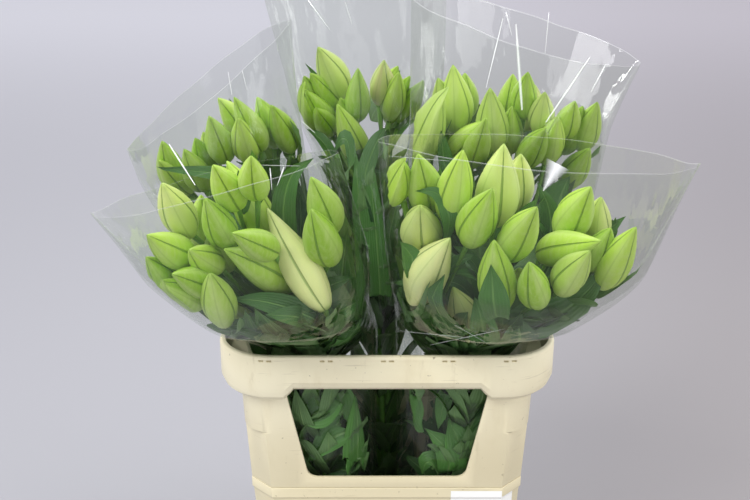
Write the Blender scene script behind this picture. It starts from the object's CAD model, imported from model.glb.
"""Crate of cut lilies in bud, the finished look: moulded crate, leafy stems, waxy buds and clear film.

Millimetres in the tables, metres in the meshes. X runs along the crate's long side, Y away from its front
and Z up. The origin is the middle of the bucket's underside.
"""

import math
import random
from collections import namedtuple

import bmesh
import bpy
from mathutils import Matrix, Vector, noise


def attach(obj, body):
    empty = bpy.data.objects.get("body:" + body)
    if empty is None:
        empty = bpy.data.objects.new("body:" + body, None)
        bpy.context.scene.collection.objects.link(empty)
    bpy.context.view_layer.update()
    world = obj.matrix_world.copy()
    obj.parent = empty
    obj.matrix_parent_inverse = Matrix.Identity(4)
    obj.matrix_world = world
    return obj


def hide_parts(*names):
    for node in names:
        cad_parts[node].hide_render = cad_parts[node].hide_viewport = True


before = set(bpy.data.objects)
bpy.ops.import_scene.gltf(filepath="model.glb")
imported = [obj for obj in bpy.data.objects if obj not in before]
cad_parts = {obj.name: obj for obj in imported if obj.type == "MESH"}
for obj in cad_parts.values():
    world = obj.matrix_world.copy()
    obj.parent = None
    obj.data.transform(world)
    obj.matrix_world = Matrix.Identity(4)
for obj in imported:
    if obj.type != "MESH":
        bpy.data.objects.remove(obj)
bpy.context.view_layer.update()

MM = 0.001

# The crate: a bucket, and a windowed collar that stands on its rim
RIM_Z = 440.0
COLLAR_HEIGHT = 186.0
BUCKET_TOP = RIM_Z - COLLAR_HEIGHT
WALL = 3.5
FLOOR = 4.0
REST_GAP = 0.4
BAND_WIDTH, BAND_DEPTH, BAND_CORNER = 390.0, 290.0, 62.0
BODY_WIDTH, BODY_DEPTH, BODY_CORNER = 344.0, 246.0, 36.0
FOOT_WIDTH, FOOT_DEPTH, FOOT_CORNER = 328.0, 236.0, 26.0
BASE_WIDTH, BASE_DEPTH, BASE_CORNER = 292.0, 202.0, 24.0
CORNER_STEPS = 10
WINDOW_TOP, WINDOW_BOTTOM = RIM_Z - 51.0, RIM_Z - 171.0
WINDOW_TOP_WIDTH, WINDOW_BOTTOM_WIDTH, WINDOW_CORNER = 236.0, 186.0, 12.0

# The line of sight that the flowers' places were read along: pixels of a 750 x 500 picture
EYE = Vector((-14.0, -1194.0, RIM_Z + 509.0))
PITCH = math.radians(20.0)
FOCAL_PIXELS = 1041.7
PICTURE_MIDDLE = (375.0, 250.0)

# The flowers
STEM_RADIUS = 4.2
STEM_FOOT_Z = FLOOR + 0.8
TIE_Z = 96.0
# Stems are held in by their sleeve over this height
SLEEVE_FOOT_Z = 70
SLEEVE_SIDES = 12
SEED = 7

# How near to a sleeve's wall each thing may come, where 1 is on the wall
INSIDE_SLEEVE = 0.92
HEAD_LIMIT = 0.8
STALK_LIMIT = 0.9
STEM_LIMIT = 0.95
BUD_LIMIT = 0.955
LEAF_LIMIT = 0.965

# A bud's place is searched for along its line of sight, in steps of depth, and the cheapest is taken
DEPTH_STEPS, DEPTH_STEP = 22, 5.0
OUTSIDE_COST, CROWDING_COST, STEP_COST = 300, 2, 0.25
# Rings that a bud's room is tested with: how far along it, and how wide against its girth
TEST_RINGS = ((0.0, 0.38), (0.30, 1.0), (0.76, 0.70))
RIDGE, FURROW = 1.04, 0.86

# Stems at the tie: how far apart they are, and how far under and over it they run upright
STEMS_APART_AT_TIE, TIE_REACH = 6.0, 14.0
# How far stems stand from their bunch's middle at the cut end and at the rim, and how much they lean there
FOOT_SPREAD, RIM_SPREAD, RIM_LEAN = 15, 14, 0.22
# Where round the bunch its first stem stands
FIRST_STEM = math.atan2(-1.0, 0.3)

# One level of a sleeve: its middle, half width and half depth, turn about Z in degrees, how much higher its
# +X and +Y sides are (mm per mm), and its pinch: 0.4 is a full oval and 1 a flat pointed one
Level = namedtuple("Level", "x y z wide deep turn rise_x rise_y pinch")
# A bud: the picture's places of its tip and foot, its foot's depth, its length and girth, and its tone from
# 0, green, to 1, cream
Bud = namedtuple("Bud", "tip foot depth long girth tone")
# A stem's top: its place in the picture, and its depth
Head = namedtuple("Head", "place depth")
# A large leaf that stands out: root, middle and tip in the picture, depth, and width
Leaf = namedtuple("Leaf", "root middle tip depth wide")

SLEEVES = {
    "front_left": [
        Level(-70, -47, 60, 58, 40, 0, 0, 0, 0.40),
        Level(-80, -56, BUCKET_TOP + 10, 68, 46, 0, 0, 0, 0.40),
        Level(-90, -66, RIM_Z - 5, 80, 53, 0, 0, 0, 0.42),
        Level(-117, -120, RIM_Z + 52, 98, 90, 0, 0.02, 0.05, 0.45),
        Level(-141, -168, RIM_Z + 130, 120, 108, 0, 0.06, 0.10, 0.50),
        Level(-178, -186, RIM_Z + 214, 128, 102, -4, 0.26, -0.12, 0.78),
    ],
    "front_right": [
        Level(70, -47, 60, 58, 40, 0, 0, 0, 0.40),
        Level(80, -56, BUCKET_TOP + 10, 68, 46, 0, 0, 0, 0.40),
        Level(90, -66, RIM_Z - 5, 80, 53, 0, 0, 0, 0.42),
        Level(113, -120, RIM_Z + 52, 106, 90, 0, -0.02, 0.05, 0.45),
        Level(132, -171, RIM_Z + 130, 136, 108, 0, -0.06, 0.10, 0.50),
        Level(150, -186, RIM_Z + 246, 162, 102, 0, -0.08, -0.08, 0.78),
    ],
    "back_left": [
        Level(-88, 47, 60, 40, 38, 0, 0, 0, 0.40),
        Level(-102, 56, BUCKET_TOP + 10, 46, 44, 0, 0, 0, 0.40),
        Level(-118, 66, RIM_Z - 5, 52, 53, 0, 0, 0, 0.42),
        Level(-152, 62, RIM_Z + 60, 76, 74, 0, 0.05, 0, 0.45),
        Level(-188, 46, RIM_Z + 130, 94, 90, 0, 0.20, 0.05, 0.48),
        Level(-206, 43, RIM_Z + 200, 100, 90, 0, 0.46, 0.10, 0.60),
        Level(-216, 48, RIM_Z + 266, 104, 86, 0, 0.76, 0.14, 0.74),
    ],
    "back_centre": [
        Level(0, 47, 60, 38, 38, 0, 0, 0, 0.40),
        Level(0, 56, BUCKET_TOP + 10, 46, 44, 0, 0, 0, 0.40),
        Level(0, 66, RIM_Z - 5, 52, 53, 0, 0, 0, 0.42),
        Level(-6, 76, RIM_Z + 60, 60, 58, 0, 0, 0, 0.45),
        Level(-18, 96, RIM_Z + 140, 64, 64, 6, 0, 0.05, 0.48),
        Level(-24, 142, RIM_Z + 232, 98, 84, 8, 0, 0.05, 0.50),
        Level(-42, 172, RIM_Z + 385, 122, 94, 6, 0, 0.10, 0.74),
    ],
    "back_right": [
        Level(88, 47, 60, 40, 38, 0, 0, 0, 0.40),
        Level(102, 56, BUCKET_TOP + 10, 46, 44, 0, 0, 0, 0.40),
        Level(118, 66, RIM_Z - 5, 52, 53, 0, 0, 0, 0.42),
        Level(140, 54, RIM_Z + 60, 80, 68, 4, -0.03, 0, 0.50),
        Level(140, 30, RIM_Z + 140, 120, 84, 10, -0.06, 0.05, 0.66),
        Level(150, 38, RIM_Z + 232, 126, 94, 12, -0.10, 0.08, 0.60),
        Level(170, 66, RIM_Z + 330, 144, 96, 8, -0.30, 0.12, 0.74),
    ],
}

BUDS = {
    "front_left": [
        Bud((267, 208), (326, 310), -250, 122, 41, 0.9),
        Bud((311, 177), (330, 232), -205, 105, 38, 0.35),
        Bud((311, 209), (330, 262), -248, 100, 40, 0.1),
        Bud((227, 161), (267, 240), -130, 118, 41, 0.1),
        Bud((147, 235), (192, 259), -205, 90, 36, 0.05),
        Bud((146, 257), (178, 292), -215, 80, 32, 0.0),
        Bud((156, 282), (200, 305), -215, 86, 33, 0.0),
        Bud((172, 274), (216, 289), -235, 86, 33, 0.1),
        Bud((210, 273), (226, 323), -225, 98, 37, 0.4),
        Bud((224, 249), (293, 286), -240, 116, 44, 0.25),
        Bud((189, 250), (219, 266), -215, 80, 32, 0.05),
        Bud((209, 230), (229, 268), -205, 90, 32, 0.05),
        Bud((232, 233), (275, 252), -205, 95, 32, 0.1),
        Bud((201, 195), (203, 249), -180, 106, 37, 0.2),
        Bud((205, 198), (230, 244), -165, 104, 34, 0.05),
        Bud((162, 183), (190, 234), -165, 104, 37, 0.6),
        Bud((213, 165), (238, 206), -150, 96, 34, 0.0),
        Bud((251, 156), (258, 196), -140, 96, 31, 0.0),
        Bud((224, 300), (250, 320), -215, 84, 34, 0.3),
    ],
    "front_right": [
        Bud((418, 154), (428, 210), -165, 110, 38, 0.15),
        Bud((463, 150), (448, 221), -160, 114, 38, 0.1),
        Bud((504, 144), (494, 223), -150, 124, 46, 0.6),
        Bud((521, 154), (515, 208), -135, 106, 35, 0.65),
        Bud((492, 189), (469, 241), -190, 106, 40, 0.05),
        Bud((537, 207), (506, 257), -195, 110, 38, 0.15),
        Bud((420, 206), (423, 241), -215, 100, 44, 0.75),
        Bud((450, 238), (413, 300), -240, 116, 46, 0.85),
        Bud((494, 240), (500, 309), -240, 112, 40, 0.15),
        Bud((453, 287), (475, 338), -225, 100, 40, 0.65),
        Bud((529, 262), (537, 304), -225, 86, 34, 0.05),
        Bud((519, 268), (522, 298), -215, 80, 30, 0.05),
        Bud((601, 241), (540, 254), -225, 106, 37, 0.1),
        Bud((591, 187), (564, 236), -165, 112, 40, 0.05),
        Bud((601, 197), (597, 240), -150, 94, 32, 0.75),
        Bud((611, 228), (592, 268), -175, 86, 32, 0.3),
        Bud((636, 227), (602, 286), -195, 116, 36, 0.1),
        Bud((590, 251), (560, 290), -190, 96, 36, 0.4),
        Bud((401, 158), (392, 202), -150, 92, 31, 0.1),
    ],
    "back_left": [
        Bud((162, 141), (177, 188), -20, 104, 35, 0.05),
        Bud((158, 160), (190, 191), -30, 92, 34, 0.1),
        Bud((184, 149), (204, 188), -30, 96, 34, 0.15),
        Bud((195, 138), (212, 171), 0, 90, 30, 0.0),
        Bud((209, 116), (226, 160), 20, 100, 35, 0.2),
        Bud((218, 98), (247, 139), 50, 106, 35, 0.3),
        Bud((234, 97), (262, 149), 70, 102, 34, 0.1),
        Bud((238, 118), (250, 160), 20, 96, 35, 0.05),
        Bud((257, 97), (275, 146), 90, 100, 34, 0.1),
        Bud((271, 105), (292, 150), 75, 100, 34, 0.0),
        Bud((203, 132), (216, 166), 40, 90, 30, 0.5),
    ],
    "back_centre": [
        Bud((318, 47), (342, 96), 130, 104, 41, 0.6),
        Bud((310, 73), (337, 107), 90, 94, 32, 0.05),
        Bud((295, 83), (318, 131), 55, 106, 34, 0.1),
        Bud((305, 90), (332, 129), 60, 100, 34, 0.1),
        Bud((315, 108), (331, 133), 40, 82, 30, 0.05),
        Bud((337, 104), (362, 164), 25, 106, 38, 0.1),
        Bud((358, 68), (357, 120), 105, 94, 33, 0.0),
        Bud((384, 60), (381, 102), 150, 96, 34, 0.95),
        Bud((398, 66), (378, 103), 125, 100, 32, 0.05),
        Bud((399, 72), (389, 118), 100, 100, 33, 0.2),
        Bud((410, 76), (388, 121), 95, 104, 32, 0.0),
        Bud((424, 80), (400, 121), 110, 104, 30, 0.0),
        Bud((304, 76), (318, 108), 110, 84, 28, 0.5),
        Bud((340, 98), (352, 126), 60, 80, 30, 0.0),
    ],
    "back_right": [
        Bud((441, 88), (415, 166), -30, 124, 46, 0.5),
        Bud((453, 65), (456, 131), 60, 110, 43, 0.3),
        Bud((438, 78), (446, 131), 40, 104, 36, 0.4),
        Bud((465, 73), (463, 119), 90, 98, 34, 0.5),
        Bud((490, 88), (495, 151), 30, 112, 40, 0.4),
        Bud((487, 103), (486, 160), 0, 106, 34, 0.2),
        Bud((486, 118), (470, 166), -20, 96, 32, 0.05),
        Bud((484, 121), (450, 155), -20, 88, 30, 0.05),
        Bud((513, 74), (509, 121), 90, 98, 34, 0.2),
        Bud((528, 72), (524, 116), 100, 95, 32, 0.1),
        Bud((535, 85), (525, 126), 60, 95, 38, 1.0),
        Bud((545, 92), (540, 131), 60, 90, 32, 0.7),
        Bud((558, 116), (545, 161), 10, 96, 35, 0.05),
        Bud((546, 128), (522, 166), 0, 100, 34, 0.1),
        Bud((575, 101), (560, 136), 50, 92, 32, 0.1),
        Bud((583, 106), (563, 151), 30, 105, 35, 0.1),
        Bud((598, 102), (582, 149), 30, 105, 34, 0.4),
        Bud((590, 148), (565, 186), -10, 104, 35, 0.15),
        Bud((512, 106), (510, 151), 40, 90, 32, 0.0),
    ],
}

HEADS = {
    "front_left": [
        Head((334, 326), -195),
        Head((246, 328), -170),
        Head((228, 292), -170),
        Head((296, 292), -170),
        Head((244, 238), -120),
    ],
    "front_right": [
        Head((434, 268), -160),
        Head((452, 330), -180),
        Head((490, 264), -140),
        Head((516, 308), -175),
        Head((566, 298), -165),
        Head((572, 258), -115),
    ],
    "back_left": [
        Head((212, 206), 15),
        Head((246, 176), 45),
        Head((272, 172), 65),
    ],
    "back_centre": [
        Head((330, 156), 65),
        Head((350, 138), 95),
        Head((364, 190), 40),
        Head((386, 146), 100),
    ],
    "back_right": [
        Head((430, 190), 20),
        Head((466, 160), 55),
        Head((482, 186), 20),
        Head((522, 152), 70),
        Head((556, 184), 40),
    ],
}

LARGE_LEAVES = {
    "front_left": [
        Leaf((318, 346), (268, 330), (216, 324), -190, 30),
        Leaf((312, 318), (272, 303), (231, 299), -195, 22),
        Leaf((338, 322), (342, 276), (348, 226), -150, 28),
        Leaf((346, 350), (366, 290), (352, 218), -140, 26),
        Leaf((288, 262), (286, 190), (314, 158), -150, 22),
    ],
    "front_right": [
        Leaf((512, 318), (562, 312), (612, 262), -185, 40),
        Leaf((440, 336), (430, 308), (445, 274), -225, 28),
        Leaf((494, 318), (493, 292), (491, 264), -262, 26),
        Leaf((484, 344), (482, 322), (474, 296), -190, 26),
        Leaf((524, 352), (520, 336), (519, 316), -205, 40),
        Leaf((548, 250), (550, 214), (537, 182), -150, 20),
        Leaf((449, 224), (440, 196), (415, 191), -205, 14),
        Leaf((588, 250), (604, 234), (626, 216), -140, 18),
        Leaf((414, 270), (410, 254), (397, 241), -205, 18),
    ],
    "back_left": [Leaf((232, 176), (206, 172), (150, 168), -20, 14)],
    "back_centre": [
        Leaf((378, 300), (374, 226), (368, 152), -2, 34),
        Leaf((352, 250), (350, 205), (344, 158), 5, 30),
        Leaf((364, 176), (378, 150), (396, 134), 25, 22),
        Leaf((340, 176), (332, 146), (304, 164), 20, 20),
    ],
    "back_right": [
        Leaf((556, 216), (562, 194), (570, 176), -25, 36),
        Leaf((446, 176), (443, 152), (441, 130), -25, 18),
    ],
}

# Leaves pressed against the film behind the front window
WINDOW_LEAVES = {
    "front_left": [
        Leaf((334, 398), (318, 412), (297, 418), -98, 34),
        Leaf((368, 466), (366, 436), (357, 394), -99, 32),
        Leaf((352, 430), (330, 440), (308, 462), -97, 26),
        Leaf((338, 392), (342, 416), (332, 434), -92, 22),
        Leaf((388, 448), (380, 462), (352, 474), -94, 18),
    ],
    "front_right": [
        Leaf((402, 392), (410, 420), (424, 432), -96, 26),
        Leaf((448, 472), (446, 450), (424, 428), -99, 26),
        Leaf((466, 462), (458, 440), (448, 418), -97, 26),
        Leaf((482, 398), (474, 420), (462, 440), -92, 22),
        Leaf((438, 474), (428, 462), (420, 476), -96, 20),
        Leaf((446, 394), (442, 410), (438, 430), -92, 12),
    ],
}

# How many leaves each stem of a bunch has besides the large ones, and how many stand behind each film
LEAVES_ON_STEM = {"front_left": 40, "front_right": 36, "back_left": 36, "back_centre": 44, "back_right": 34}
WALL_LEAVES = 30
GOLDEN_ANGLE = math.radians(137.5)
LEAF_ROWS, LEAF_ROOT_ROWS = 12, 3
# How far a leaf is cupped and how high its edges wave, as shares of its width
CUPPED, EDGE_WAVE = 0.26, 0.035
VEINS = 9
# Distances from the leaf's middle, as shares of its width, where the midrib ends and where it is full
MIDRIB = (0.055, 0.01)

PETALS = 3
BUD_SIDES = 24
# A petal's bulge and the furrow between two petals, as shares of the bud's radius, and the bow along the bud
PETAL_BULGE, FURROW_DEPTH, BUD_BOW = 0.035, 0.10, 0.03
# Where in the petals' wave their seam sets in and is full
SEAM = (-0.965, -0.999)

# The film's grid, and the share of its height where its thin milky edge begins
FILM_SIDES, FILM_ROWS, FILM_EDGE = 120, 90, 0.997
# How close the film's pleats are round it, and up it for each millimetre
PLEATS_ROUND, PLEATS_UP = 1.6, 0.004
# How white the film is along its side seams, at its top edge, and where it is gathered at the rim
SEAM_WHITE, EDGE_WHITE, GATHER_WHITE = 0.22, 0.30, 0.10
# The depths between which a line of sight is searched for the film
FILM_DEPTHS = range(-330, 370)

# Sharp folds of the film that shine white: both ends in the picture, the width there in pixels, and how white
Fold = namedtuple("Fold", "start end start_width end_width white")
FOLD_STEPS, FOLD_LIFT = 10, 0.8
# A fold that starts wider than this is a broad one, and isn't narrowed towards its ends
BROAD_FOLD = 6
FOLDS = {
    "front_left": [
        Fold((169, 144), (195, 185), 2.5, 1.5, 0.95),
        Fold((257, 165), (300, 166), 1.0, 0.8, 0.5),
        Fold((270, 168), (272, 190), 2.0, 0.6, 0.8),
        Fold((284, 167), (277, 186), 2.5, 0.5, 0.8),
        Fold((196, 330), (236, 352), 2.0, 1.2, 0.7),
    ],
    "front_right": [
        Fold((558, 164), (543, 191), 26, 1.0, 0.95),
        Fold((388, 156), (450, 161), 0.9, 0.9, 0.5),
        Fold((400, 331), (470, 338), 1.5, 1.0, 0.5),
        Fold((430, 345), (505, 329), 1.8, 0.8, 0.5),
        Fold((455, 325), (490, 345), 1.2, 0.8, 0.5),
    ],
    "back_left": [
        Fold((228, 72), (232, 95), 1.0, 0.8, 0.7),
        Fold((242, 70), (247, 90), 0.9, 0.7, 0.6),
    ],
    "back_centre": [
        Fold((270, 93), (315, 133), 1.8, 1.6, 0.9),
        Fold((266, 44), (283, 90), 1.2, 0.8, 0.7),
        Fold((277, 42), (282, 86), 1.3, 0.9, 0.8),
        Fold((308, 0), (330, 30), 1.6, 0.8, 0.8),
        Fold((345, 2), (352, 24), 1.2, 0.8, 0.6),
    ],
    "back_right": [
        Fold((503, 18), (486, 88), 1.8, 0.8, 0.9),
        Fold((506, 12), (512, 36), 1.6, 0.7, 0.8),
        Fold((516, 24), (522, 110), 3.2, 4.2, 0.95),
        Fold((549, 12), (545, 54), 1.2, 0.8, 0.8),
        Fold((590, 57), (546, 122), 1.4, 2.4, 0.95),
        Fold((606, 64), (591, 92), 1.4, 0.9, 0.9),
    ],
}

# The crate's small things
SLOTS = (-137.0, -68.5, 0.0, 68.5, 137.0)
SLOT_GAP, SLOT_SIZE = 9.0, (5.5, 9.0, 2.2)
SLOT_Z = RIM_Z - 5.2
EDGE_ROUNDING = 0.9
LABEL_LEFT, LABEL_LIFT, LABEL_CORNER = 77.0, 0.8, 15
# The label's rows: how far under the bucket's top, and how far back they lie on the tapered wall
LABEL_ROWS = ((44.0, 3.7), (16.6, 2.0), (12.6, 0.0), (4.0, 0.0))

# The lamps: place, what each shines at and its size, in metres, and its power in watts
LAMPS = {
    "key": ((-1.3, -1.5, 2.6), (0, 0, 0.5), (1.4, 1.4), 64),
    "fill": ((1.9, -1.2, 1.5), (0, 0, 0.5), (1.2, 1.2), 18),
    "strip_left": ((-0.75, 0.2, 2.3), (-0.1, 0, 0.7), (0.10, 1.6), 11),
    "strip_right": ((0.9, -0.1, 2.2), (0.15, 0, 0.7), (0.10, 1.6), 12),
    "front_low": ((0.0, -2.6, 0.9), (0, 0, 0.42), (1.8, 0.6), 6),
}


# Places in the picture, and room in the sleeves


def sight(place):
    """The direction of the line of sight through a place in the picture."""
    across = (place[0] - PICTURE_MIDDLE[0]) / FOCAL_PIXELS
    up = (PICTURE_MIDDLE[1] - place[1]) / FOCAL_PIXELS
    return Vector((across, math.cos(PITCH) + up * math.sin(PITCH), up * math.cos(PITCH) - math.sin(PITCH)))


def at_depth(place, depth):
    """The point at that Y which shows at that place in the picture."""
    ray = sight(place)
    return EYE + ray * ((depth - EYE.y) / ray.y)


def towards_eye(place, start, length):
    """The point that shows at that place and lies length from start, on the eye's side."""
    ray = sight(place).normalized()
    along = (start - EYE).dot(ray)
    miss = (EYE + ray * along - start).length
    back = math.sqrt(max(length * length - miss * miss, 0.0))
    return EYE + ray * (along - back)


def level_at(sleeve, part):
    """The sleeve's level at a share of the way up its list, straight between the listed ones."""
    part = min(max(part, 0.0), len(sleeve) - 1.0)
    low = min(int(part), len(sleeve) - 2)
    share = part - low
    return Level(*(a + (b - a) * share for a, b in zip(sleeve[low], sleeve[low + 1])))


def in_level(level, point):
    """A point's place along the level's width and depth."""
    turn = math.radians(level.turn)
    dx, dy = point.x - level.x, point.y - level.y
    return dx * math.cos(turn) + dy * math.sin(turn), dy * math.cos(turn) - dx * math.sin(turn)


def from_level(level, across, out):
    """The point at that place along the level's width and depth."""
    turn = math.radians(level.turn)
    dx = across * math.cos(turn) - out * math.sin(turn)
    dy = across * math.sin(turn) + out * math.cos(turn)
    return Vector((level.x + dx, level.y + dy, level.z + level.rise_x * dx + level.rise_y * dy))


def part_of(sleeve, point):
    """How far up the sleeve's list a point is."""
    low, high = 0.0, len(sleeve) - 1.0
    for _ in range(24):
        part = (low + high) / 2
        level = level_at(sleeve, part)
        height = level.z + level.rise_x * (point.x - level.x) + level.rise_y * (point.y - level.y)
        if point.z > height:
            low = part
        else:
            high = part
    return (low + high) / 2


def oval(angle, pinch):
    """The place at that angle round an oval one unit wide and deep, as pinched as a level is."""
    across = math.cos(angle)
    return across, math.copysign(max(1 - across * across, 0.0) ** pinch, math.sin(angle))


def outline(level):
    """The corners of the sleeve's cross-section at a level, along its width and depth."""
    corners = []
    for i in range(SLEEVE_SIDES):
        across, out = oval(2 * math.pi * i / SLEEVE_SIDES, level.pinch)
        if i in (0, SLEEVE_SIDES // 2):
            out = 0.0
        corners.append((across * level.wide, out * level.deep))
    return corners


def reach(level, across, out):
    """1 on the sleeve's wall, and less inside it."""
    corners = outline(level)
    largest = 0.0
    for (ax, ay), (bx, by) in zip(corners, corners[1:] + corners[:1]):
        nx, ny = by - ay, ax - bx
        largest = max(largest, (nx * across + ny * out) / (nx * ax + ny * ay))
    return largest


def keep_inside(sleeve, point, limit=INSIDE_SLEEVE):
    """The point, pressed in by the film if it would cross it."""
    level = level_at(sleeve, part_of(sleeve, point))
    across, out = in_level(level, point)
    share = reach(level, across, out)
    if share <= limit:
        return point
    pressed = from_level(level, across * limit / share, out * limit / share)
    return Vector((pressed.x, pressed.y, point.z))


def worst_reach(sleeve, points):
    """The largest reach of any of the points."""
    levels = [level_at(sleeve, part_of(sleeve, p)) for p in points]
    return max(reach(level, *in_level(level, p)) for level, p in zip(levels, points))


def crowding(foot, tip, girth, others):
    """How deep a bud's middle line comes into the buds already placed."""
    deepest = 0.0
    shares = [i / 4 for i in range(5)]
    for other_foot, other_tip, other_girth in others:
        for share in shares:
            for other_share in shares:
                apart = (foot.lerp(tip, share) - other_foot.lerp(other_tip, other_share)).length
                deepest = max(deepest, 0.42 * (girth + other_girth) - apart)
    return deepest


def place_bud(bunch, bud, others):
    """The foot and tip of a bud, moved along its line of sight until it is inside its sleeve and has room."""
    sleeve = SLEEVES[bunch]
    found = []
    for step in range(DEPTH_STEPS):
        for way in (1, -1):
            foot = at_depth(bud.foot, bud.depth + DEPTH_STEP * step * way)
            tip = towards_eye(bud.tip, foot, bud.long)
            outside = max(worst_reach(sleeve, test_points(foot, tip, bud.girth)) - INSIDE_SLEEVE, 0.0)
            crowded = crowding(foot, tip, bud.girth, others)
            cost = outside * OUTSIDE_COST + crowded * CROWDING_COST + step * STEP_COST
            found.append((cost, step, way, foot, tip))
    return min(found)[3:]


def test_points(foot, tip, girth):
    """Points round a bud and its tip, which show whether it has room."""
    along = tip - foot
    side = along.orthogonal().normalized()
    other = along.normalized().cross(side)
    points = []
    for share, width in TEST_RINGS:
        radii = [girth / 2 * width * RIDGE, girth / 2 * width * FURROW] * PETALS
        points.extend(circle(foot + along * share, side, other, radii))
    return [*points, tip]


def tie_radius(count):
    """How far the stems stand from the tie's middle, so that each presses into its neighbours."""
    return STEMS_APART_AT_TIE / (2 * math.sin(math.pi / count))


def stem_path(bunch, index):
    """The points of a stem: cut end, tie, rim, and the head where its buds begin."""
    sleeve, heads = SLEEVES[bunch], HEADS[bunch]
    head = keep_inside(sleeve, at_depth(heads[index].place, heads[index].depth), HEAD_LIMIT)
    angle = 2 * math.pi * index / len(heads) + FIRST_STEM
    around = Vector((math.cos(angle), math.sin(angle), 0.0))
    middle = Vector((sleeve[0].x, sleeve[0].y, 0.0))
    near = tie_radius(len(heads))
    rim_level = sleeve[2]
    rim_middle = Vector((rim_level.x, rim_level.y, 0.0))
    lean = head - rim_middle
    lean.z = 0
    rim = rim_middle + around * RIM_SPREAD + lean * RIM_LEAN
    return [
        middle + around * FOOT_SPREAD + Vector((0, 0, STEM_FOOT_Z)),
        middle + around * near + Vector((0, 0, TIE_Z - TIE_REACH)),
        middle + around * near + Vector((0, 0, TIE_Z + TIE_REACH)),
        keep_inside(sleeve, Vector((rim.x, rim.y, RIM_Z - 60)), 0.7),
        keep_inside(sleeve, Vector((rim.x, rim.y, RIM_Z - 4)) + lean * 0.1, 0.75),
        head,
    ]


class Skin:
    """Gathers lofted grids into one mesh. Each grid keeps its own tone and shade, and its UV runs round it
    and along it."""

    def __init__(self):
        self.verts, self.faces, self.uvs, self.tones, self.shades = [], [], [], [], []

    def grid(self, rows, tone=0.0, shade=0.5, closed=True, caps=False):
        start, across = len(self.verts), len(rows[0])
        for row in rows:
            self.verts.extend(row)
        self.tones.extend([tone] * (across * len(rows)))
        self.shades.extend([shade] * (across * len(rows)))
        for j in range(len(rows) - 1):
            for i in range(across if closed else across - 1):
                k = (i + 1) % across
                low, high = start + j * across, start + (j + 1) * across
                self.faces.append((low + i, low + k, high + k, high + i))
                u0, u1 = i / across, (i + 1) / across
                if not closed:
                    u0, u1 = i / (across - 1), (i + 1) / (across - 1)
                v0, v1 = j / (len(rows) - 1), (j + 1) / (len(rows) - 1)
                self.uvs.extend(((u0, v0), (u1, v0), (u1, v1), (u0, v1)))
        if caps:
            last = start + (len(rows) - 1) * across
            self.faces.append(tuple(start + i for i in reversed(range(across))))
            self.uvs.extend([(0.5, 0.0)] * across)
            self.faces.append(tuple(last + i for i in range(across)))
            self.uvs.extend([(0.5, 1.0)] * across)

    def make(self, name, look, *nodes, slot="lily_green"):
        """The mesh object, riding on the frame in place of the CAD nodes."""
        mesh = bpy.data.meshes.new(name)
        mesh.from_pydata([v * MM for v in self.verts], [], self.faces)
        uv = mesh.uv_layers.new(name="UVMap")
        uv.data.foreach_set("uv", [c for pair in self.uvs for c in pair])
        for label, values in (("tone", self.tones), ("shade", self.shades)):
            mesh.attributes.new(label, "FLOAT", "POINT").data.foreach_set("value", values)
        mesh.polygons.foreach_set("use_smooth", [True] * len(mesh.polygons))
        mesh.materials.append(look)
        return mount(in_scene(name, mesh), nodes)


def in_scene(name, data):
    """A new object of the scene."""
    made = bpy.data.objects.new(name, data)
    bpy.context.scene.collection.objects.link(made)
    return made


def mesh_of(name, bm):
    """The finished mesh of what was built in bm."""
    mesh = bpy.data.meshes.new(name)
    bm.to_mesh(mesh)
    bm.free()
    return mesh


def mount(made, nodes):
    """Ties a finished piece to the frame."""
    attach(made, "root")
    if nodes:
        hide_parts(*nodes)
    return made


# Looks


def linear(code):
    """A hex sRGB colour as linear red, green, blue and alpha."""
    values = [int(code[i : i + 2], 16) / 255 for i in (0, 2, 4)]
    return (*[v / 12.92 if v <= 0.04045 else ((v + 0.055) / 1.055) ** 2.4 for v in values], 1.0)


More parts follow.
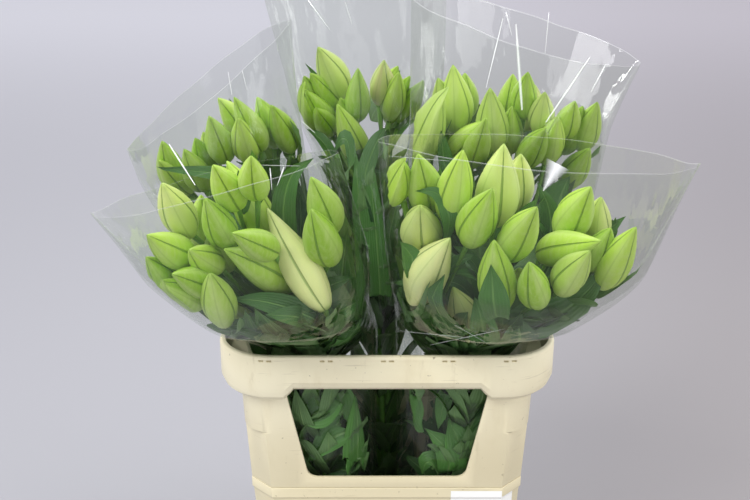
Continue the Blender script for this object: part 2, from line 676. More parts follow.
class Look:
    """A material with a Principled shader, and the one way to add a node to it."""

    def __init__(self, name, sockets):
        self.material = bpy.data.materials.new(name)
        self.material.use_nodes = True
        self.tree = self.material.node_tree
        self.shader = self.tree.nodes["Principled BSDF"]
        self.surface = self.tree.nodes["Material Output"].inputs["Surface"]
        for socket, value in sockets.items():
            self.shader.inputs[socket].default_value = value

    def node(self, kind, inputs, output=0, **settings):
        """Adds a node with its settings and returns one of its outputs. inputs maps a socket's name or number
        to a value, or to the output that is linked to it."""
        made = self.tree.nodes.new("ShaderNode" + kind)
        for setting, value in settings.items():
            setattr(made, setting, value)
        for socket, value in inputs.items():
            if isinstance(value, bpy.types.NodeSocket):
                self.tree.links.new(value, made.inputs[socket])
            else:
                made.inputs[socket].default_value = value
        return made.outputs[output]

    def mottle(self, size, stretch=(1.0, 1.0, 1.0), detail=3.0, roughness=0.5):
        """An uneven pattern in the piece's own space. Its spots are size millimetres apart, and longer along
        an axis whose stretch is under 1."""
        place = self.node("TexCoord", {}, "Object")
        scaled = self.node("Mapping", {"Vector": place, "Scale": stretch})
        inputs = {"Vector": scaled, "Scale": 1 / (size * MM), "Detail": detail, "Roughness": roughness}
        return self.node("TexNoise", inputs)

    def layers(self, body, rows):
        """Lays colours over body, one after another. A row is the pattern, where in its range the colour sets
        in and is full, how strong it gets, and the colour."""
        for pattern, starts, full, strength, colour in rows:
            inputs = {0: pattern, 1: starts, 2: full, 4: strength}
            share = self.node("MapRange", inputs, interpolation_type="SMOOTHSTEP")
            body = self.node("Mix", {0: share, 6: body, 7: linear(colour)}, 2, data_type="RGBA")
        return body

    def around_along(self):
        """The grid's own coordinates: round it, and along it."""
        grid = self.node("UVMap", {}, uv_map="UVMap")
        return self.node("SeparateXYZ", {0: grid}).node.outputs[:2]

    def link(self, value, socket):
        """Leads an output to one of the shader's own sockets."""
        self.tree.links.new(value, self.shader.inputs[socket])

    def with_light_through(self, colour, share):
        """Lets part of the light come through from behind."""
        through = self.node("BsdfTranslucent", {"Color": colour})
        mixed = self.node("MixShader", {0: share, 1: self.shader.outputs[0], 2: through})
        self.tree.links.new(mixed, self.surface)


def bud_look():
    """Skin of a lily bud, grown smooth under a thin coat of wax, which gives it a soft gloss. Three broad
    outer petals meet in thin dark seams and are paler along their middles. It ripens from lime to cream."""
    look = Look("lily_bud_skin", {"Roughness": 0.40, "Specular IOR Level": 0.4})
    around, along = look.around_along()
    tone = look.node("Attribute", {}, "Fac", attribute_name="tone")
    shade = look.node("Attribute", {}, "Fac", attribute_name="shade")
    turn = look.node("Math", {0: around, 1: 2 * math.pi * PETALS}, operation="MULTIPLY")
    petal = look.node("Math", {0: turn}, operation="COSINE")
    green = look.node("Mix", {0: shade, 6: linear("99C638"), 7: linear("C6E65C")}, 2, data_type="RGBA")
    cream = look.node("Mix", {0: shade, 6: linear("CFE67C"), 7: linear("EEF0A8")}, 2, data_type="RGBA")
    ripe = look.node("MapRange", {0: tone, 1: 0.05, 2: 0.85}, interpolation_type="SMOOTHSTEP")
    body = look.node("Mix", {0: ripe, 6: green, 7: cream}, 2, data_type="RGBA")
    blush = look.node("MapRange", {0: petal, 1: 0.1, 2: 1.0, 4: 0.45}, interpolation_type="SMOOTHSTEP")
    # Streaks of the skin, drawn coarser than real ones so that they show
    streaks = look.mottle(4.167, (1, 1, 0.12))
    body = look.layers(body, [
        (streaks, 0.40, 0.70, 0.25, "DCE9A0"),
        (petal, 0.1, 1.0, 0.30, "D9E8A0"),
        (tone, 0.84, 1.0, blush, "E6BFA8"),
        (along, 0.22, 0.0, 0.6, "8FB645"),
        (along, 0.82, 1.0, 0.5, "9CC04C"),
        (petal, 0.975, 0.999, 0.18, "7C9E3C"),
        (petal, *SEAM, 0.62, "5B8A2C"),
    ])
    look.link(body, "Base Color")
    sunk = look.node("MapRange", {0: petal, 1: SEAM[0], 2: SEAM[1], 4: 1.6}, interpolation_type="SMOOTHSTEP")
    streaked = look.node("Math", {0: streaks, 1: 0.25}, operation="MULTIPLY")
    height = look.node("Math", {0: streaked, 1: sunk}, operation="SUBTRACT")
    look.link(look.node("Bump", {"Height": height, "Strength": 1.0, "Distance": 0.6 * MM}), "Normal")
    look.with_light_through(body, 0.14)
    return look.material


def leaf_look():
    """Blade of a lily leaf, grown with a tight waxed skin: dark and glossy, with fine lengthwise veins and a
    paler midrib, paler beneath, and bright where light comes through it."""
    look = Look("lily_leaf_blade", {"Roughness": 0.38, "Specular IOR Level": 0.5})
    across = look.around_along()[0]
    shade = look.node("Attribute", {}, "Fac", attribute_name="shade")
    turn = look.node("Math", {0: across, 1: 2 * math.pi * VEINS}, operation="MULTIPLY")
    veins = look.node("Math", {0: turn}, operation="SINE")
    from_middle = look.node("Math", {0: across, 1: 0.5}, operation="SUBTRACT")
    off_rib = look.node("Math", {0: from_middle}, operation="ABSOLUTE")
    dark = look.node("Mix", {0: shade, 6: linear("1F4322"), 7: linear("55883F")}, 2, data_type="RGBA")
    body = look.layers(dark, [
        (look.mottle(45.45), 0.4, 0.7, 0.25, "5E9446"),
        (veins, 0.2, 1.0, 0.09, "7FA860"),
        (off_rib, *MIDRIB, 0.45, "8DB36A"),
        (look.node("NewGeometry", {}, "Backfacing"), 0.0, 1.0, 0.45, "7E9E68"),
    ])
    look.link(body, "Base Color")
    rib = {0: off_rib, 1: MIDRIB[0], 2: MIDRIB[1], 4: 4.0}
    sunk = look.node("MapRange", rib, interpolation_type="SMOOTHSTEP")
    height = look.node("Math", {0: veins, 1: sunk}, operation="SUBTRACT")
    look.link(look.node("Bump", {"Height": height, "Strength": 1.0, "Distance": 0.12 * MM}), "Normal")
    glow = look.node("Mix", {0: 0.5, 6: body, 7: linear("86B040")}, 2, data_type="RGBA")
    look.with_light_through(glow, 0.22)
    return look.material


def stalk_look():
    """Skin of a flower stalk, grown smooth: a dull satin green with faint lengthwise grain, brighter where it
    is young."""
    look = Look("lily_stalk", {"Roughness": 0.45, "Specular IOR Level": 0.4})
    shade = look.node("Attribute", {}, "Fac", attribute_name="shade")
    green = look.node("Mix", {0: shade, 6: linear("4A7A30"), 7: linear("8DBB50")}, 2, data_type="RGBA")
    grain = look.mottle(8.333, (1, 1, 0.1))
    faint = look.node("Math", {0: grain, 1: 0.4}, operation="MULTIPLY")
    look.link(look.node("Mix", {0: faint, 6: green, 7: linear("3F6A2A")}, 2, data_type="RGBA"), "Base Color")
    return look.material


def film_look():
    """Clear polypropylene film, cast in a thin sheet: nearly all light goes through, a little grey, its gloss
    gives sharp white streaks where it is creased, and its folds and edges are milky."""
    look = Look("clear_sleeve_film", {"Roughness": 0.30, "Base Color": linear("FAFCFC")})
    shade = look.node("Attribute", {}, "Fac", attribute_name="shade")
    creases = look.mottle(62.5, (1, 1, 0.30))
    crumples = look.node("Math", {0: look.mottle(16.67, (1, 1, 0.4), 2), 1: 0.12}, operation="MULTIPLY")
    height = look.node("Math", {0: creases, 1: crumples}, operation="ADD")
    normal = look.node("Bump", {"Height": height, "Strength": 1.0, "Distance": 6 * MM})
    look.link(normal, "Normal")
    clear = look.node("BsdfTransparent", {"Color": linear("F4F6F3")})
    milky = look.node("Math", {0: 0.006, 1: shade}, operation="ADD", use_clamp=True)
    body = look.node("MixShader", {0: milky, 1: clear, 2: look.shader.outputs[0]})
    gloss = look.node("BsdfGlossy", {"Color": linear("FFFFFF"), "Roughness": 0.05, "Normal": normal})
    # Gloss grows where the film is seen edge-on, and is held back there so that the flowers show
    edge_on = look.node("Fresnel", {"IOR": 1.40, "Normal": normal})
    weak = look.node("Math", {0: edge_on, 1: 0.7}, operation="MULTIPLY")
    share = look.node("Math", {0: weak, 1: 0.22}, operation="MINIMUM")
    look.tree.links.new(look.node("MixShader", {0: share, 1: body, 2: gloss}), look.surface)
    return look.material


def crate_look():
    """Cream polypropylene, injection moulded and used many times: satin where the mould left it, with rubbed
    patches, smears, scuffs and specks of dirt, and duller lower down."""
    look = Look("cream_crate_plastic", {"Roughness": 0.42, "Specular IOR Level": 0.35})
    clouds = look.mottle(200.0, detail=4)
    rubbed = look.mottle(33.33, (1, 1, 0.35), 5, 0.65)
    specks = look.mottle(5.263, detail=2)
    scratches = look.mottle(16.67, (0.25, 0.25, 5.0), 3, 0.7)
    smears = look.mottle(71.43, (2.2, 2.2, 0.6), 5, 0.7)
    place = look.node("TexCoord", {}, "Object")
    height = look.node("SeparateXYZ", {0: place}, "Z")
    body = look.layers(linear("E7DDBC"), [
        (clouds, 0.35, 0.65, 1.0, "F0E8C9"),
        (rubbed, 0.52, 0.75, 0.38, "D6C9A4"),
        (smears, 0.60, 0.72, 0.30, "AE9F7A"),
        (scratches, 0.62, 0.72, 0.30, "A4967A"),
        (specks, 0.71, 0.77, 0.60, "7A6C52"),
        (height, 400 * MM, 270 * MM, 0.45, "CDC19C"),
    ])
    look.link(body, "Base Color")
    broad = look.node("Math", {0: clouds, 1: 4.0}, operation="MULTIPLY")
    uneven = look.node("Math", {0: rubbed, 1: broad}, operation="ADD")
    look.link(look.node("Bump", {"Height": uneven, "Strength": 1.0, "Distance": 0.4 * MM}), "Normal")
    return look.material


def floor_look():
    """Matt painted floor, pale grey, lighter far away and to the left, as a studio's light falls on it."""
    look = Look("pale_floor", {"Roughness": 0.85})
    place = look.node("TexCoord", {}, "Object")
    x, y = look.node("SeparateXYZ", {0: place}).node.outputs[:2]
    far = look.node("MapRange", {0: y, 1: -0.5, 2: 6.5}, interpolation_type="SMOOTHSTEP")
    reach_back = look.node("Math", {0: y, 1: 1.6}, operation="ADD")
    sideways = look.node("Math", {0: x, 1: reach_back}, operation="DIVIDE")
    right = look.node("MapRange", {0: sideways, 1: -0.15, 2: 0.36}, interpolation_type="SMOOTHSTEP")
    bright = look.node("Mix", {0: far, 6: linear("A3A3A8"), 7: linear("F0F0F6")}, 2, data_type="RGBA")
    dim = look.node("Mix", {0: far, 6: linear("949091"), 7: linear("DCD7DD")}, 2, data_type="RGBA")
    look.link(look.node("Mix", {0: right, 6: bright, 7: dim}, 2, data_type="RGBA"), "Base Color")
    return look.material


def plain_look(name, colour, sockets):
    """A material that is the same all over."""
    return Look(name, {"Base Color": linear(colour), **sockets}).material


# Plants


def spline(a, b, c, d, t):
    """The value at t between b and c, on a smooth curve through all four."""
    first, second, third = c - a, 2 * a - 5 * b + 4 * c - d, 3 * b - a - 3 * c + d
    return 0.5 * (2 * b + first * t + second * t * t + third * t**3)


def smooth_path(knots, count):
    """Points along a smooth curve through the knots."""
    points = []
    ends = [knots[0] * 2 - knots[1], *knots, knots[-1] * 2 - knots[-2]]
    for i in range(1, len(ends) - 2):
        points.extend(spline(*ends[i - 1 : i + 3], step / count) for step in range(count))
    return [*points, knots[-1]]


def heading(points, i):
    """The direction in which a path runs at one of its points."""
    return (points[min(i + 1, len(points) - 1)] - points[max(i - 1, 0)]).normalized()


def directions(points):
    """For each point of a path, two directions square to it, carried along without twisting."""
    made = []
    side = None
    for i in range(len(points)):
        along = heading(points, i)
        if side is None:
            side = along.orthogonal().normalized()
        side = (side - along * side.dot(along)).normalized()
        made.append((side, along.cross(side)))
    return made


def circle(centre, side, other, radii):
    """One point for each radius, round centre."""
    step = 2 * math.pi / len(radii)
    return [
        centre + side * (r * math.cos(i * step)) + other * (r * math.sin(i * step))
        for i, r in enumerate(radii)
    ]


def add_rod(skin, points, radii, shade, sides=8):
    """A round rod whose radius runs through radii."""
    rows = []
    for i, (point, (side, other)) in enumerate(zip(points, directions(points))):
        part = i / (len(points) - 1) * (len(radii) - 1)
        low = min(int(part), len(radii) - 2)
        radius = radii[low] + (radii[low + 1] - radii[low]) * (part - low)
        rows.append(circle(point, side, other, [radius] * sides))
    skin.grid(rows, shade=shade, caps=True)


# A bud's shape: how far along it, and how wide against its girth
BUD_PROFILE = [
    (0.0, 0.24), (0.012, 0.36), (0.04, 0.49), (0.10, 0.68), (0.18, 0.85), (0.28, 0.97), (0.37, 1.0),
    (0.48, 0.95), (0.59, 0.83), (0.70, 0.66), (0.80, 0.47), (0.88, 0.31), (0.95, 0.16), (1.0, 0.03),
]


def add_bud(skin, sleeve, foot, tip, girth, tone, draw):
    """A lily bud: a spindle of three broad petals, slightly bowed, with furrows where they meet."""
    along = tip - foot
    side = along.orthogonal().normalized()
    other = along.normalized().cross(side)
    phase = draw.uniform(0, 2 * math.pi)
    spun = side * math.cos(phase) + other * math.sin(phase)
    square = along.normalized().cross(spun)
    bow = square * (along.length * draw.uniform(-BUD_BOW, BUD_BOW))
    rows = []
    for share, width in BUD_PROFILE:
        radii = []
        for i in range(BUD_SIDES):
            wave = math.cos(PETALS * 2 * math.pi * i / BUD_SIDES)
            furrow = FURROW_DEPTH * max(0.0, -wave) ** 6 * (1 - share * 0.5)
            radii.append(girth / 2 * width * (1 + PETAL_BULGE * wave - furrow))
        middle = foot + along * share + bow * math.sin(math.pi * share)
        ring = circle(middle, spun, square, radii)
        rows.append([keep_inside(sleeve, p, BUD_LIMIT) for p in ring])
    skin.grid(rows, tone=tone, shade=draw.uniform(0.15, 1.0), caps=True)


def cuts_a_bud(rows, placed):
    """Whether a leaf, past its root, would run through a bud."""
    for foot, tip, girth in placed:
        along = tip - foot
        for row in rows[LEAF_ROOT_ROWS:]:
            for point in row[::3]:
                share = (point - foot).dot(along) / along.length_squared
                if 0.02 < share < 0.98:
                    radius = girth / 2 * math.sin(math.pi * share**0.8) ** 0.6
                    if (foot + along * share - point).length < radius * 0.95:
                        return True
    return False


def add_leaf(skin, sleeve, path, wide, across, shade, draw, placed=()):
    """A lily leaf along path: widest a little before its middle, cupped, with a light wave at its edges.
    It is left out where it would cut a placed bud."""
    points = smooth_path(path, LEAF_ROWS // (len(path) - 1))
    wave_phase = draw.uniform(0, 6.28)
    rows = []
    for i, point in enumerate(points):
        share = i / (len(points) - 1)
        along = heading(points, i)
        square = (across - along * across.dot(along)).normalized()
        normal = square.cross(along).normalized()
        half = wide / 2 * (0.16 + 0.84 * math.sin(math.pi * share**0.72) ** 0.8) * (1 - share**9)
        row = []
        for k in range(-3, 4):
            side = abs(k / 3)
            wave = wide * EDGE_WAVE * math.sin(share * 9 + wave_phase + k) * side
            lift = half * (CUPPED * side**1.3) + wave
            row.append(keep_inside(sleeve, point + square * (half * k / 3) + normal * lift, LEAF_LIMIT))
        rows.append(row)
    if not cuts_a_bud(rows, placed):
        skin.grid(rows, shade=shade, closed=False)


def stem_leaves(skin, bunch, path, index, placed, draw):
    """Leaves all the way up one stem, each turned by the golden angle. The highest ones are small and stand
    between the buds."""
    sleeve = SLEEVES[bunch]
    count = LEAVES_ON_STEM[bunch]
    for i in range(count):
        share = 0.34 + 0.65 * ((i + draw.random() * 0.6) / count) ** 0.8
        spot = int(share * (len(path) - 1))
        root, above = path[spot], path[min(spot + 1, len(path) - 1)]
        along = (above - root).normalized()
        angle = GOLDEN_ANGLE * i + index * 1.3 + draw.uniform(-0.4, 0.4)
        side = Vector((math.cos(angle), math.sin(angle), 0.0))
        high = max(0.0, (share - 0.7) / 0.3)
        long = draw.uniform(95, 140) * (1 - 0.25 * high)
        droop = draw.uniform(0.0, 0.30)
        middle = root + along * (long * 0.46) + side * (long * 0.26)
        tip = root + along * (long * (0.82 - droop)) + side * (long * (0.50 + droop * 0.5))
        across = side.cross(along).normalized()
        shade = draw.uniform(0.0, 0.35) + 0.45 * high * draw.random()
        wide = draw.uniform(24, 38) * (1 - 0.35 * high)
        add_leaf(skin, sleeve, [root, middle, tip], wide, across, shade, draw, placed)


def wall_leaves(skin, bunch, placed, draw):
    """Leaves that stand close behind the film, from just under the rim to between the lowest buds."""
    sleeve = SLEEVES[bunch]
    for i in range(WALL_LEAVES):
        angle = GOLDEN_ANGLE * i
        high = 40 if bunch.startswith("front") and math.sin(angle) < 0.2 else 105
        low, long = RIM_Z - 45 + high * draw.random(), draw.uniform(85, 130)
        twist = 0.2 + draw.uniform(-0.2, 0.2)
        places = []
        for share, nearness, turn in ((0.0, 0.35, 0.0), (0.5, 0.80, 0.12), (1.0, 0.93, twist)):
            z = low + long * share
            level = level_at(sleeve, part_of(sleeve, Vector((sleeve[3].x, sleeve[3].y, z))))
            across, out = oval(angle + turn, level.pinch)
            place = from_level(level, across * level.wide * nearness, out * level.deep * nearness)
            places.append(Vector((place.x, place.y, z)))
        outward = (places[2] - places[0]).cross(Vector((-math.sin(angle), math.cos(angle), 0.0)))
        across = outward.cross(places[2] - places[0]).normalized()
        wide, shade = draw.uniform(26, 40), draw.uniform(0.0, 0.5)
        add_leaf(skin, sleeve, places, wide, across, shade, draw, placed)


def bud_leaf(skin, sleeve, foot, tip, girth, placed, draw):
    """The narrow bright leaf that stands at a bud's foot."""
    along = tip - foot
    side = along.cross(Vector((draw.uniform(-1, 1), draw.uniform(-1, 1), draw.uniform(-1, 1)))).normalized()
    root = foot - along * 0.22
    middle = foot + along * 0.10 + side * (girth * 0.62)
    end = foot + along * draw.uniform(0.35, 0.75) + side * (girth * draw.uniform(0.55, 1.0))
    across = side.cross(along).normalized()
    wide, shade = draw.uniform(12, 20), draw.uniform(0.5, 1.0)
    add_leaf(skin, sleeve, [root, middle, end], wide, across, shade, draw, placed)


def seen_leaves(skin, bunch, leaves, points, draw, shades, larger):
    """The large leaves that stand out, along their places in the picture."""
    sleeve = SLEEVES[bunch]
    for leaf in leaves:
        root, middle, tip = [at_depth(place, leaf.depth) for place in (leaf.root, leaf.middle, leaf.tip)]
        pull = middle * 2 - (root + tip) * 0.5
        curve = [root * (1 - t) ** 2 + pull * (2 * t * (1 - t)) + tip * t * t for t in (0, 0.33, 0.66, 1)]
        stem = min(points, key=lambda p: (p - root).length)
        across = (tip - root).cross(EYE - middle).normalized()
        path, shade = [root.lerp(stem, 0.4), *curve], draw.uniform(*shades)
        add_leaf(skin, sleeve, path, leaf.wide * larger, across, shade, draw)


def leaf_behind(skin, sleeve, foot, tip, girth, placed, draw):
    """The broad dark leaf that stands behind a bud and closes the view past it."""
    along = tip - foot
    away = (foot - EYE).normalized()
    across = along.cross(away).normalized()
    lean = across * (girth * draw.uniform(-0.5, 0.5))
    root = foot - along * 0.35 + away * 4
    middle = foot + along * 0.08 + away * (girth * 0.62) + lean * 0.5
    end = foot + along * draw.uniform(0.45, 0.70) + away * (girth * 0.75) + lean
    wide = girth * draw.uniform(0.95, 1.25)
    shade = draw.uniform(0.0, 0.35)
    add_leaf(skin, sleeve, [root, middle, end], wide, across, shade, draw, placed)


def make_bunch(bunch, looks):
    """The stems, leaves, stalks and buds of one bunch."""
    draw = random.Random(SEED + len(bunch))
    sleeve = SLEEVES[bunch]
    buds, leaves, stalks = Skin(), Skin(), Skin()
    placed = []
    for bud in BUDS[bunch]:
        placed.append((*place_bud(bunch, bud, placed), bud.girth))
    paths = []
    for index in range(len(HEADS[bunch])):
        bare = smooth_path(stem_path(bunch, index), 8)
        path = [keep_inside(sleeve, p, STEM_LIMIT) if p.z > SLEEVE_FOOT_Z else p for p in bare]
        paths.append(path)
        add_rod(stalks, path, [STEM_RADIUS, STEM_RADIUS, STEM_RADIUS * 0.8], draw.uniform(0.1, 0.4), 10)
        stem_leaves(leaves, bunch, path, index, placed, draw)
    points = [p for path in paths for p in path[20:-1]]
    over_rim = [p for p in points if p.z > RIM_Z + 25]
    under_rim = [p for p in points if p.z < RIM_Z - 25]
    seen_leaves(leaves, bunch, LARGE_LEAVES[bunch], over_rim, draw, (0.30, 0.75), 1.25)
    seen_leaves(leaves, bunch, WINDOW_LEAVES.get(bunch, []), under_rim, draw, (0.55, 1.0), 1.65)
    wall_leaves(leaves, bunch, placed, draw)
    for number, (bud, (foot, tip, girth)) in enumerate(zip(BUDS[bunch], placed)):
        along = (tip - foot).normalized()
        path = min(paths, key=lambda p: (p[-1] - foot).length)
        start = path[-1].lerp(path[-6], (number * 0.38) % 1.0)
        knots = [start, start.lerp(foot, 0.5) - along * 7, foot + along * 2]
        knots = [keep_inside(sleeve, p, STALK_LIMIT) for p in knots]
        add_rod(stalks, smooth_path(knots, 5), [2.1, 1.9, 2.2, 3.4], draw.uniform(0.55, 1.0))
        add_bud(buds, sleeve, foot, tip, girth, bud.tone, draw)
        bud_leaf(leaves, sleeve, foot, tip, girth, placed, draw)
        leaf_behind(leaves, sleeve, foot, tip, girth, placed, draw)
    buds.make("buds_" + bunch, looks["bud"])
    leaves.make("leaves_" + bunch, looks["leaf"])
    stalks.make("stems_" + bunch, looks["stalk"], "bunch_" + bunch)


# Film


def smooth_level(sleeve, part):
    """The sleeve's level at a share of the way up its list, on a smooth curve through the listed ones."""
    low = min(int(part), len(sleeve) - 2)
    t = part - low
    picked = [sleeve[min(max(low + k, 0), len(sleeve) - 1)] for k in (-1, 0, 1, 2)]
    return Level(*(spline(*four, t) for four in zip(*picked)))


def make_film(bunch, look):
    """One sleeve's film: smooth between its levels, with pleats that deepen towards its top."""
    sleeve = SLEEVES[bunch]
    skin = Skin()
    shift = Vector((len(bunch) * 3.1, SEED, 0.0))
    heights = [j / (FILM_ROWS - 1) * FILM_EDGE for j in range(FILM_ROWS)] + [1.0]
    rows, shades = [], []
    for share in heights:
        part = (len(sleeve) - 1) * share
        level = Level(*((a + b) / 2 for a, b in zip(level_at(sleeve, part), smooth_level(sleeve, part))))
        row = []
        for i in range(FILM_SIDES):
            angle = 2 * math.pi * i / FILM_SIDES
            across, out = oval(angle, level.pinch)
            sideways, back = across * PLEATS_ROUND, math.sin(angle) * PLEATS_ROUND
            place = Vector((sideways, back, level.z * PLEATS_UP)) + shift
            fold = noise.noise(place) * 2 + noise.noise(place * 2.3)
            crumple = noise.ridged_multi_fractal(place * 2.2, 1.0, 2.0, 3, 1.0, 2.0)
            depth = 1.2 + 3.6 * share
            inward = depth * fold * 0.55 - crumple * (0.8 + 0.8 * abs(share - 0.55))
            shrink = 1 + (inward - 1.0) / max(level.deep, 1)
            narrow = 1 + (inward - 1.0) * 0.4 / level.wide
            edge_wave = 3.5 * noise.noise(place * 1.4) * share**6
            point = from_level(level, across * level.wide * narrow, out * level.deep * shrink)
            row.append(point + Vector((0, 0, edge_wave)))
            from_seam = min(i, FILM_SIDES - i, abs(i - FILM_SIDES / 2))
            seam = SEAM_WHITE if share > 0.4 and from_seam < 1 else 0.0
            edge = EDGE_WHITE if share == 1.0 else 0.0
            near_rim = max(0.0, 1 - abs(level.z - RIM_Z - 20) / 45)
            gather = GATHER_WHITE * max(0.0, crumple - 1.3) * near_rim
            shades.append(max(seam, edge, gather))
        rows.append(row)
    skin.grid(rows)
    skin.shades = shades
    for fold in FOLDS[bunch]:
        add_fold(skin, sleeve, fold)
    return skin.make("film_" + bunch, look, "sleeve_" + bunch, slot="clear_film")


def on_film(sleeve, place):
    """The first point of the film on the line of sight through a place in the picture."""
    for depth in FILM_DEPTHS:
        point = at_depth(place, depth)
        level = level_at(sleeve, part_of(sleeve, point))
        if sleeve[0].z < point.z < sleeve[-1].z + 30 and reach(level, *in_level(level, point)) < 0.995:
            return point
    return None


def add_fold(skin, sleeve, fold):
    """A sharp fold that catches the light, as a narrow strip on the film."""
    rows = []
    for step in range(FOLD_STEPS + 1):
        share = step / FOLD_STEPS
        place = [a + (b - a) * share for a, b in zip(fold.start, fold.end)]
        point = on_film(sleeve, place)
        if point is None:
            continue
        ray = sight(place).normalized()
        run = at_depth(fold.end, point.y) - at_depth(fold.start, point.y)
        square = ray.cross(run).normalized()
        pixels = fold.start_width + (fold.end_width - fold.start_width) * share
        if fold.start_width < BROAD_FOLD:
            pixels *= math.sin(math.pi * (0.06 + 0.88 * share)) ** 0.4
        half = square * (pixels / 2 * (point - EYE).length / FOCAL_PIXELS)
        lifted = point - ray * FOLD_LIFT
        rows.append([lifted - half, lifted, lifted + half])
    if len(rows) > 1:
        skin.grid(rows, closed=False)
        skin.shades = [*skin.shades[: -3 * len(rows)], *([0.0, fold.white, 0.0] * len(rows))]


# Crate


def rounded_rectangle(width, depth, corner, z, chamfer=False, sag=0.0):
    """Points round a rectangle with round or cut corners. sag lowers all but the middle of the long sides."""
    points = []
    for turn, sx, sy in ((0, 1, 1), (90, -1, 1), (180, -1, -1), (270, 1, -1)):
        for i in range(CORNER_STEPS + 1):
            angle = math.radians(turn + 90 * i / CORNER_STEPS)
            x, y = corner * math.cos(angle), corner * math.sin(angle)
            if chamfer:
                share = corner / (abs(x) + abs(y))
                x, y = x * share, y * share
            points.append(Vector((sx * (width / 2 - corner) + x, sy * (depth / 2 - corner) + y, z - sag)))
        if turn in (0, 180):
            for across, drop in ((118, 1.0), (112, 0.55), (106, 0.0), (-106, 0.0), (-112, 0.55), (-118, 1.0)):
                x = across if turn == 0 else -across
                points.append(Vector((x, sy * depth / 2, z - sag * drop)))
    return points


def crate_piece(name, rows, look, node, cutters=(), caps=()):
    """A loft through rows, cut by cutters and with its edges rounded. It closes on itself, unless caps names
    the rows that get a flat cap."""
    bm = bmesh.new()
    made = [[bm.verts.new(p * MM) for p in row] for row in rows]
    pairs = list(zip(made, made[1:]))
    if not caps:
        pairs.append((made[-1], made[0]))
    for low, high in pairs:
        for i in range(len(low)):
            j = (i + 1) % len(low)
            bm.faces.new((low[i], low[j], high[j], high[i]))
    for cap in caps:
        bm.faces.new(made[cap])
    bmesh.ops.recalc_face_normals(bm, faces=bm.faces)
    piece = in_scene(name, mesh_of(name, bm))
    for cutter in cutters:
        cut = piece.modifiers.new("window", "BOOLEAN")
        cut.operation, cut.solver, cut.object = "DIFFERENCE", "EXACT", cutter
    bevel = piece.modifiers.new("soft_edges", "BEVEL")
    bevel.width, bevel.segments = EDGE_ROUNDING * MM, 2
    bevel.limit_method, bevel.angle_limit = "ANGLE", math.radians(38)
    graph = bpy.context.evaluated_depsgraph_get()
    mesh = bpy.data.meshes.new_from_object(piece.evaluated_get(graph))
    piece.modifiers.clear()
    piece.data = mesh
    mesh.materials.clear()
    mesh.materials.append(look)
    mesh.shade_smooth()
    mesh.set_sharp_from_angle(angle=math.radians(24))
    return mount(piece, (node,))


def window_cutter(side):
    """The trapezoid prism with round corners that a long wall's window is cut with."""
    corners = [
        (WINDOW_TOP_WIDTH / 2, WINDOW_TOP),
        (-WINDOW_TOP_WIDTH / 2, WINDOW_TOP),
        (-WINDOW_BOTTOM_WIDTH / 2, WINDOW_BOTTOM),
        (WINDOW_BOTTOM_WIDTH / 2, WINDOW_BOTTOM),
    ]
    outline_points = []
    for i, corner in enumerate(corners):
        here = Vector(corner)
        before = (Vector(corners[i - 1]) - here).normalized() * WINDOW_CORNER
        after = (Vector(corners[(i + 1) % 4]) - here).normalized() * WINDOW_CORNER
        for step in range(9):
            t = step / 8
            outline_points.append(here + before * (1 - t) ** 2 + after * t**2)
    bm = bmesh.new()
    near, far = side * (BODY_DEPTH / 2 - 22), side * (BAND_DEPTH / 2 + 20)
    rings = [[bm.verts.new(Vector((p.x, y, p.y)) * MM) for p in outline_points] for y in (near, far)]
    for i in range(len(outline_points)):
        j = (i + 1) % len(outline_points)
        bm.faces.new((rings[0][i], rings[0][j], rings[1][j], rings[1][i]))
    for ring in rings:
        bm.faces.new(ring)
    bmesh.ops.recalc_face_normals(bm, faces=bm.faces)
    return in_scene("window_cutter", mesh_of("window_cutter", bm))


def slot_cutter():
    """Small boxes for the paired slots just under the rim of both long walls."""
    bm = bmesh.new()
    for x in SLOTS:
        for shift in (-SLOT_GAP / 2, SLOT_GAP / 2):
            for side in (-1, 1):
                made = bmesh.ops.create_cube(bm, size=1.0)["verts"]
                bmesh.ops.scale(bm, verts=made, vec=Vector(SLOT_SIZE) * MM)
                middle = Vector((x + shift, side * (BAND_DEPTH / 2 - WALL / 2), SLOT_Z))
                bmesh.ops.translate(bm, verts=made, vec=middle * MM)
    return in_scene("slot_cutter", mesh_of("slot_cutter", bm))


def make_label(look):
    """The blank paper label stuck on the bucket's front, round the cut corner at its right end."""
    front, bend = FOOT_DEPTH / 2 + LABEL_LIFT, FOOT_WIDTH / 2 - FOOT_CORNER
    stations = ((LABEL_LEFT, 0), (bend, 0), (bend + LABEL_CORNER, LABEL_CORNER))
    rows = []
    for under, back in LABEL_ROWS:
        rows.append([Vector((x, back - front + cut, BUCKET_TOP - under)) for x, cut in stations])
    skin = Skin()
    skin.grid(rows, closed=False)
    label = skin.make("paper_label", look, slot="crate_plastic")
    label.data.shade_flat()
    return label


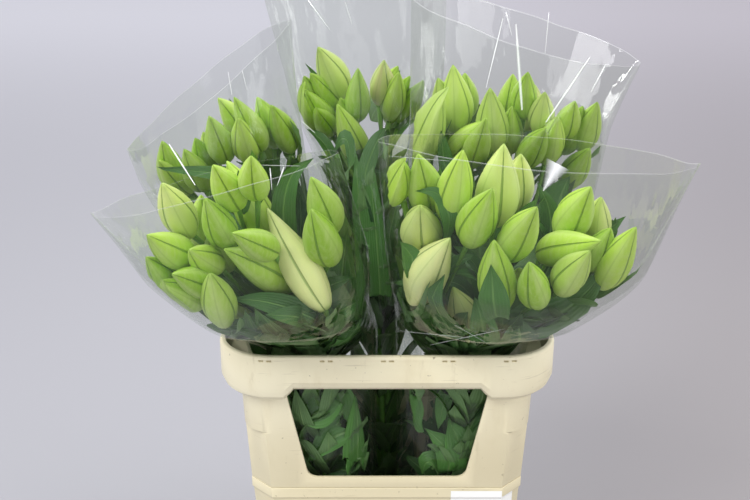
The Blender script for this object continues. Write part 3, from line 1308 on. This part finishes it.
def make_crate(look):
    """The bucket and the windowed collar on it."""
    foot_z, step_z, band_z = BUCKET_TOP + REST_GAP, RIM_Z - 112.0, RIM_Z - 62.0
    inset = 2 * WALL
    rr = rounded_rectangle
    outer = [
        rr(FOOT_WIDTH, FOOT_DEPTH, FOOT_CORNER, foot_z, True),
        rr(FOOT_WIDTH + 8, FOOT_DEPTH + 5, FOOT_CORNER, step_z, True),
        rr(BODY_WIDTH - 4, BODY_DEPTH - 3, BODY_CORNER, step_z + 3.0),
        rr(BODY_WIDTH, BODY_DEPTH, BODY_CORNER, band_z + 13, sag=14),
        rr(BODY_WIDTH + 22, BODY_DEPTH + 20, BAND_CORNER - 12, band_z + 17, sag=14),
        rr(BAND_WIDTH - 8, BAND_DEPTH - 8, BAND_CORNER - 4, band_z + 22, sag=12),
        rr(BAND_WIDTH, BAND_DEPTH, BAND_CORNER, band_z + 30, sag=10),
        rr(BAND_WIDTH, BAND_DEPTH, BAND_CORNER, RIM_Z - 3.2),
        rr(BAND_WIDTH - 1.6, BAND_DEPTH - 1.6, BAND_CORNER - 0.8, RIM_Z - 1.0),
        rr(BAND_WIDTH - 5, BAND_DEPTH - 5, BAND_CORNER - 2, RIM_Z),
    ]
    inner = [
        rr(BAND_WIDTH - 2 * inset + 2, BAND_DEPTH - 2 * inset + 2, BAND_CORNER - 5, RIM_Z),
        rr(BAND_WIDTH - 2 * inset, BAND_DEPTH - 2 * inset, BAND_CORNER - 6, RIM_Z - 1.5),
        rr(BAND_WIDTH - 2 * inset, BAND_DEPTH - 2 * inset, BAND_CORNER - 6, band_z + 36.0, sag=8),
        rr(BODY_WIDTH - inset, BODY_DEPTH - inset, BODY_CORNER - WALL, band_z + 15.0, sag=13),
        rr(FOOT_WIDTH + 8 - inset, FOOT_DEPTH + 5 - inset, FOOT_CORNER - 2, step_z + 2.0, True),
        rr(FOOT_WIDTH - inset, FOOT_DEPTH - inset, FOOT_CORNER - 2, foot_z, True),
    ]
    cutters = [window_cutter(-1), window_cutter(1), slot_cutter()]
    crate_piece("crate_collar", outer + inner, look, "window_collar", cutters)
    for cutter in cutters:
        bpy.data.objects.remove(cutter)
    bucket = [
        rr(BASE_WIDTH - 3, BASE_DEPTH - 3, BASE_CORNER - 1.5, 0.0),
        rr(BASE_WIDTH, BASE_DEPTH, BASE_CORNER, 1.6),
        rr(BASE_WIDTH + 2, BASE_DEPTH + 2, BASE_CORNER, 6.0),
        rr(FOOT_WIDTH - 3, FOOT_DEPTH - 3, FOOT_CORNER, BUCKET_TOP - 16.0, True),
        rr(FOOT_WIDTH + 1, FOOT_DEPTH + 1, FOOT_CORNER, BUCKET_TOP - 13.0, True),
        rr(FOOT_WIDTH + 1, FOOT_DEPTH + 1, FOOT_CORNER, BUCKET_TOP - 0.2, True),
        rr(FOOT_WIDTH - inset, FOOT_DEPTH - inset, FOOT_CORNER - WALL, BUCKET_TOP - 0.2, True),
        rr(BASE_WIDTH - inset, BASE_DEPTH - inset, BASE_CORNER - WALL, FLOOR),
    ]
    crate_piece("crate_bucket", bucket, look, "bucket", caps=(0, -1))


# The studio


def lamp(name, place, target, size, power):
    """A soft rectangular light."""
    light = bpy.data.lights.new(name, "AREA")
    light.shape, light.size, light.size_y = "RECTANGLE", *size
    light.energy = power
    made = in_scene(name, light)
    made.location = place
    made.rotation_euler = (Vector(target) - Vector(place)).to_track_quat("-Z", "Y").to_euler()


def make_studio():
    """A pale floor, soft light, and the camera that looks down on the crate from its front."""
    mesh = bpy.data.meshes.new("studio_floor")
    mesh.from_pydata([(-14, -8, 0), (14, -8, 0), (14, 20, 0), (-14, 20, 0)], [], [(0, 1, 2, 3)])
    mesh.materials.append(floor_look())
    floor = in_scene("studio_floor", mesh)
    world = bpy.data.worlds.new("soft_white")
    world.use_nodes = True
    world.node_tree.nodes["Background"].inputs[0].default_value = linear("E8E8EE")
    world.node_tree.nodes["Background"].inputs[1].default_value = 0.90
    bpy.context.scene.world = world
    for name, settings in LAMPS.items():
        lamp(name, *settings)
    camera = bpy.data.cameras.new("camera")
    camera.lens, camera.sensor_width = 50.0, 36.0
    made = in_scene("camera", camera)
    made.location = EYE * MM
    made.rotation_euler = (math.radians(90) - PITCH, 0, 0)
    bpy.context.scene.camera = made
    bpy.context.scene.cycles.transparent_max_bounces = 24
    bpy.context.scene.view_settings.view_transform = "Standard"


def build():
    """The whole dressed crate, and the studio that it stands in."""
    looks = {"bud": bud_look(), "leaf": leaf_look(), "stalk": stalk_look()}
    make_label(plain_look("blank_paper", "F4F4F0", {"Roughness": 0.7}))
    crate, film = crate_look(), film_look()
    make_crate(crate)
    for bunch in SLEEVES:
        make_bunch(bunch, looks)
        make_film(bunch, film)
        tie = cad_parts["tie_" + bunch]
        rubber = plain_look("red_rubber_band", "B02818", {"Roughness": 0.6})
        tie.material_slots[0].material = rubber
    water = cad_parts["water"]
    clear = {"Roughness": 0.04, "Alpha": 0.55, "IOR": 1.33}
    water.material_slots[0].material = plain_look("still_water", "C8D4CC", clear)
    make_studio()


build()
